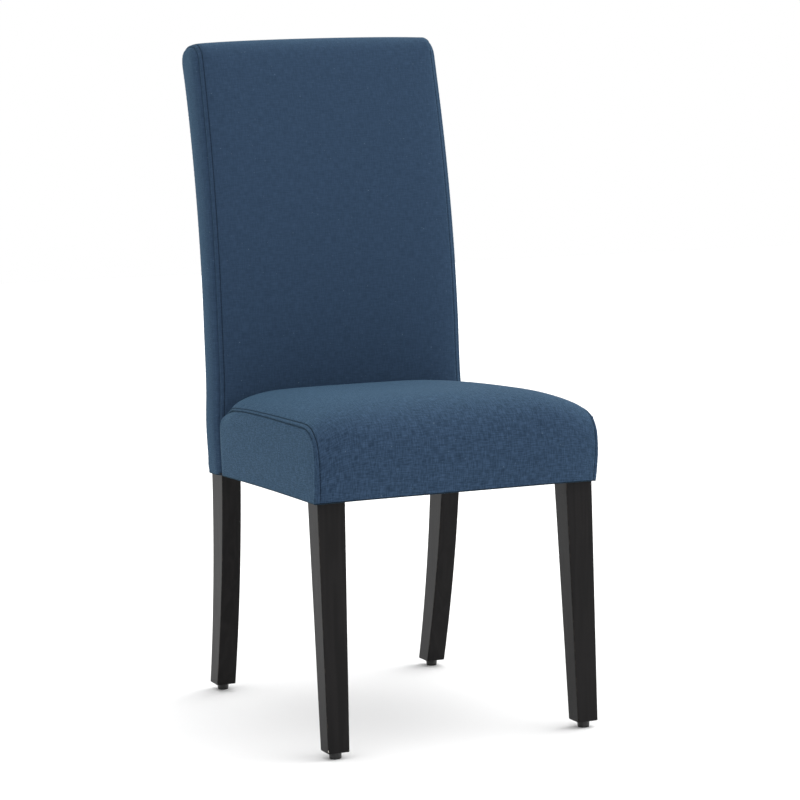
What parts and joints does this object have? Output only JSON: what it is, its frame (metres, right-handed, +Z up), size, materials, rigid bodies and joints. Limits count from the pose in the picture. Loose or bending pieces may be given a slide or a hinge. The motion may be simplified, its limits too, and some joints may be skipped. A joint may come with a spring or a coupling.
{
  "type": "dining chair",
  "caption": "Armless upholstered dining chair with a raked padded back, a crowned box seat and dark tapered wooden legs on screw-in feet.",
  "frame": {"origin": "on the floor under the middle of the chair, halfway between its frontmost and rearmost points", "axes": "+Z up, +X to the chair's side on the right of someone facing its front, -Y the way the sitter faces"},
  "size_m": [0.4242, 0.5922, 1.01],
  "materials": {
    "dark_wood": "dark espresso stain, satin",
    "raw_wood": "planed, unfinished",
    "plywood": "sanded plywood, unfinished",
    "foam": "open-cell polyurethane foam and wadding",
    "cover_fabric": "blue linen weave with slubs",
    "lining": "thin black non-woven cloth",
    "foot_plastic": "black, satin",
    "steel": "zinc plated"
  },
  "bodies": {
    "chair": {"front_leg_left": "dark_wood", "front_leg_right": "dark_wood", "rear_post_left": "dark_wood", "rear_post_right": "dark_wood", "side_rail_left": "raw_wood", "side_rail_right": "raw_wood", "front_rail": "raw_wood", "rear_rail": "raw_wood", "back_low_rail": "raw_wood", "back_top_rail": "raw_wood", "corner_block_front_left": "raw_wood", "corner_block_front_right": "raw_wood", "corner_block_rear_left": "raw_wood", "corner_block_rear_right": "raw_wood", "rail_screw_front_left_side": "steel", "rail_screw_front_left_end": "steel", "rail_screw_front_right_side": "steel", "rail_screw_front_right_end": "steel", "rail_screw_rear_left_side": "steel", "rail_screw_rear_left_end": "steel", "rail_screw_rear_right_side": "steel", "rail_screw_rear_right_end": "steel", "board_screw_front_left": "steel", "board_screw_front_right": "steel", "board_screw_rear_left": "steel", "board_screw_rear_right": "steel", "seat_board": "plywood", "back_panel": "plywood", "seat_foam": "foam", "seat_side_pad_left": "foam", "seat_side_pad_right": "foam", "seat_front_pad": "foam", "back_foam": "foam", "back_top_pad": "foam", "back_rear_pad": "foam", "back_side_pad_left": "foam", "back_side_pad_right": "foam", "seat_cover": "cover_fabric", "back_cover": "cover_fabric", "dust_cover": "lining", "foot_insert_front_left": "steel", "foot_insert_front_right": "steel", "foot_insert_rear_left": "steel", "foot_insert_rear_right": "steel"},
    "foot_front_left": {"foot_pad_front_left": "foot_plastic", "foot_stem_front_left": "steel"},
    "foot_front_right": {"foot_pad_front_right": "foot_plastic", "foot_stem_front_right": "steel"},
    "foot_rear_left": {"foot_pad_rear_left": "foot_plastic", "foot_stem_rear_left": "steel"},
    "foot_rear_right": {"foot_pad_rear_right": "foot_plastic", "foot_stem_rear_right": "steel"}
  },
  "joints": [
    {"name": "foot_front_left_thread", "type": "slide", "parent": "chair", "child": "foot_front_left", "axis": [0, 0, -1], "range_m": [0, 0.008]},
    {"name": "foot_front_right_thread", "type": "slide", "parent": "chair", "child": "foot_front_right", "axis": [0, 0, -1], "range_m": [0, 0.008]},
    {"name": "foot_rear_left_thread", "type": "slide", "parent": "chair", "child": "foot_rear_left", "axis": [0, 0, -1], "range_m": [0, 0.008]},
    {"name": "foot_rear_right_thread", "type": "slide", "parent": "chair", "child": "foot_rear_right", "axis": [0, 0, -1], "range_m": [0, 0.008]}
  ]
}
